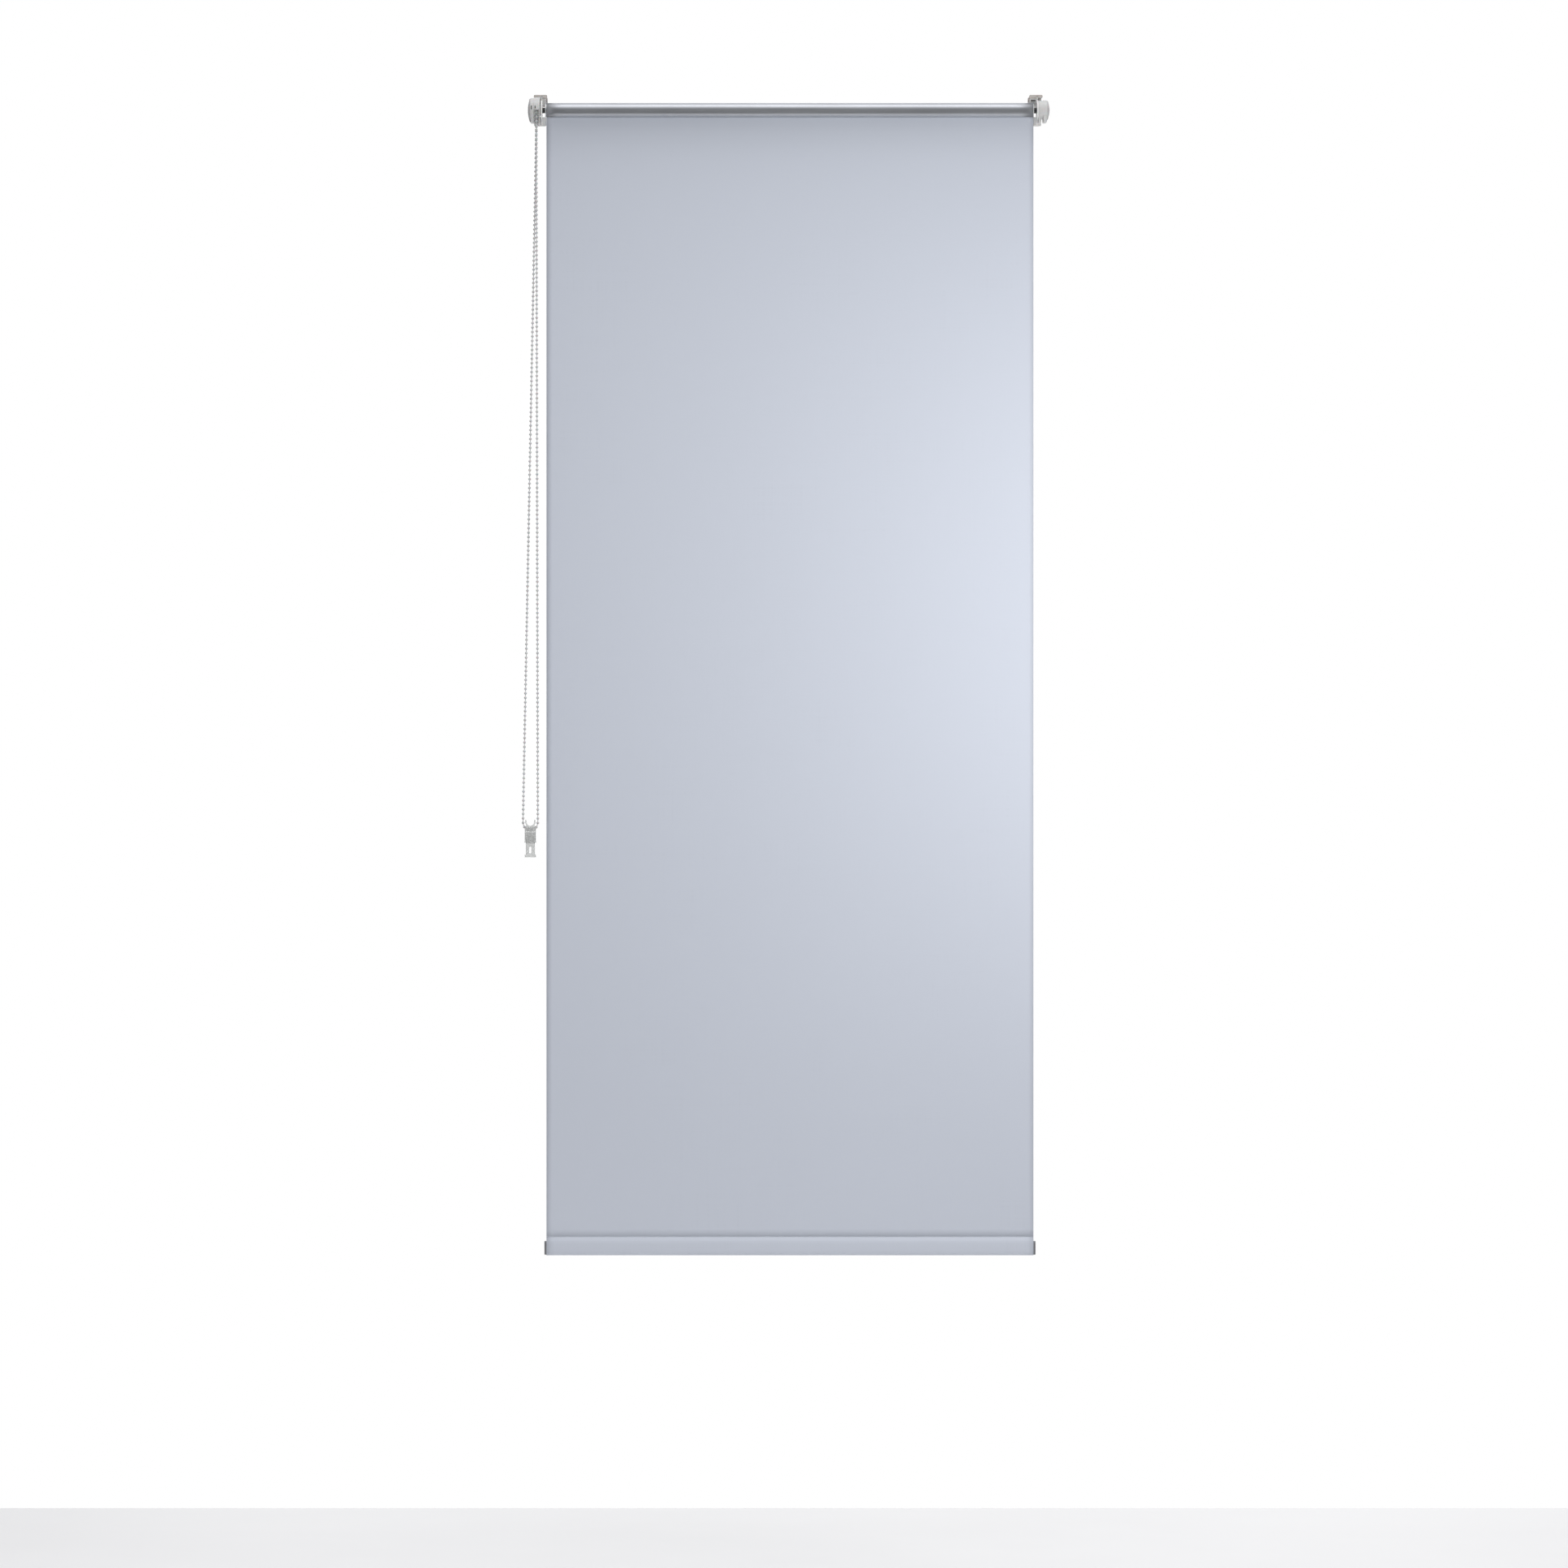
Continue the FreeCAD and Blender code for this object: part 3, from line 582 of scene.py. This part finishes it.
def hem_sleeve():
    """Pocket of cloth welded shut above its bar, fullest at the middle and round below."""
    bm = bmesh.new()
    front = [(-a, z) for a, z in HEM_SECTION]
    back = [(a, z) for a, z in reversed(HEM_SECTION[:-1])]
    verts = [bm.verts.new((hem_low.x, hem_y + a * MM, weld_z + z * MM)) for a, z in front + back]
    edges = [bm.edges.new(pair) for pair in zip(verts, verts[1:] + verts[:1])]
    draw_along(bm, edges, hem_high.x - hem_low.x, 60)
    for v in bm.verts:
        near_weld = math.exp(-((weld_z - v.co.z - PUCKER_BELOW) / PUCKER_SPREAD) ** 2)
        pucker = PUCKER_DEPTH * near_weld * math.sin(2 * math.pi * v.co.x / PUCKER_PITCH)
        v.co.y += pucker * (1 if v.co.y > hem_y else -1)
    bmesh.ops.recalc_face_normals(bm, faces=bm.faces)
    lowest = min(bm.faces, key=lambda f: f.calc_center_median().z)
    if lowest.normal.z > 0:
        bmesh.ops.reverse_faces(bm, faces=bm.faces)
    obj = piece("hem_sleeve", bm, "hem", "blue_grey_fabric", cloth, silver)
    cloth_wall(obj, HEM_THICK)
    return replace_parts(obj, "hem_pocket")


sleeve = hem_sleeve()


# --- Springs ---

def coil(name, body, start_x, end_x, radius, wire, turns, slot):
    """Round-wire helix about the roller axis, closed at both ends."""
    bm = bmesh.new()
    across_wire = Matrix.Rotation(math.pi / 2, 4, "X")
    bmesh.ops.create_circle(bm, segments=10, radius=wire,
                            matrix=Matrix.Translation((start_x, roll_y, roll_z + radius)) @ across_wire)
    steps = round(28 * turns)
    bmesh.ops.spin(bm, geom=bm.edges[:] + bm.verts[:], cent=(0, roll_y, roll_z), axis=(1, 0, 0),
                   dvec=((end_x - start_x) / steps, 0, 0), angle=2 * math.pi * turns, steps=steps)
    bmesh.ops.holes_fill(bm, edges=[e for e in bm.edges if e.is_boundary], sides=0)
    bmesh.ops.recalc_face_normals(bm, faces=bm.faces)
    return piece(name, bm, body, slot, spring_steel)


spring_low, spring_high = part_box("idle_spring")
SPRING_WIRE = 0.4 * MM
spring_radius = (spring_high.z - spring_low.z) / 2 - SPRING_WIRE
pin_spring = coil("pin_spring", "roller", spring_low.x + SPRING_WIRE, spring_high.x - SPRING_WIRE,
                  spring_radius, SPRING_WIRE, 5, "spring_steel")
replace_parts(pin_spring, "idle_spring")
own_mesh(pin_spring)


# --- Studio ---

def soft_light(name, place, aim, size, power):
    data = bpy.data.lights.new(name, "AREA")
    data.shape = "RECTANGLE"
    data.size, data.size_y = size
    data.energy = power
    light = bpy.data.objects.new(name, data)
    bpy.context.scene.collection.objects.link(light)
    light.location = place
    light.rotation_euler = (Vector(aim) - Vector(place)).to_track_quat("-Z", "Y").to_euler()
    light.visible_camera = False
    return light


def matt_light(*settings):
    """A soft light that leaves no highlight of its own."""
    soft_light(*settings).visible_glossy = False


# Brightness of the surroundings, from straight below at 0 to straight above at 1.
SKY_LEVELS = ((0.0, 0.12), (0.45, 0.14), (0.70, 0.16), (0.86, 0.95), (1.0, 1.15))


def studio_world():
    """Surroundings that brighten overhead, with a plain white backdrop."""
    world = bpy.data.worlds.new("studio")
    bpy.context.scene.world = world
    world.use_nodes = True
    nodes, links = world.node_tree.nodes, world.node_tree.links
    split = nodes.new("ShaderNodeSeparateXYZ")
    links.new(nodes.new("ShaderNodeTexCoord").outputs["Generated"], split.inputs[0])
    height = nodes.new("ShaderNodeMapRange")
    height.inputs["From Min"].default_value = -1
    links.new(split.outputs["Z"], height.inputs["Value"])
    ramp = nodes.new("ShaderNodeValToRGB")
    stops = ramp.color_ramp.elements
    for place, level in SKY_LEVELS:
        stop = stops[0] if place == 0 else stops[-1] if place == 1 else stops.new(place)
        stop.color = (level, level, level * 1.02, 1)
    links.new(height.outputs["Result"], ramp.inputs["Fac"])
    surroundings = nodes["Background"]
    links.new(ramp.outputs["Color"], surroundings.inputs["Color"])
    backdrop = nodes.new("ShaderNodeBackground")
    backdrop.inputs["Color"].default_value = (1, 1, 1, 1)
    rays = nodes.new("ShaderNodeLightPath")
    choose = nodes.new("ShaderNodeMixShader")
    links.new(rays.outputs["Is Camera Ray"], choose.inputs[0])
    links.new(surroundings.outputs[0], choose.inputs[1])
    links.new(backdrop.outputs[0], choose.inputs[2])
    links.new(choose.outputs[0], nodes["World Output"].inputs["Surface"])


matt_light("front_softbox", (-0.12, -1.75, -0.4), (-0.05, 0, -0.42), (0.9, 0.9), 12.8)
matt_light("side_glow", (0.50, -0.6, -0.60), (0.34, 0, -0.60), (0.3, 0.8), 2.5)
soft_light("top_softbox", (0, -0.3, 1.1), (0, 0, -0.1), (2.2, 0.5), 5)
soft_light("rear_softbox", (0.4, 2.6, 0.1), (0, 0, -0.7), (3.2, 3.2), 34)
studio_world()


FLOOR_Z, FLOOR_HALF_WIDTH = -1.85, 2.2


def studio_floor():
    bm = bmesh.new()
    level = Matrix.Translation((0, 0, FLOOR_Z))
    bmesh.ops.create_grid(bm, x_segments=1, y_segments=1, size=1.0, matrix=level)
    bmesh.ops.scale(bm, verts=bm.verts[:], vec=(FLOOR_HALF_WIDTH, 1, 1))
    mesh = bpy.data.meshes.new("floor")
    bm.to_mesh(mesh)
    bm.free()
    f = Finish("pale_floor", (0.84, 0.84, 0.84), 0.6)
    f.paint(f.tint(f.spread(f.noise(1.5, 3), 0, 1), 0.99, 1.01))
    f.rough(f.spread(f.noise(9, 3), 0.55, 0.7))
    mesh.materials.append(f.material)
    obj = bpy.data.objects.new("floor", mesh)
    bpy.context.scene.collection.objects.link(obj)


studio_floor()

bpy.context.scene.view_settings.view_transform = "Standard"
bpy.context.scene.view_settings.look = "None"
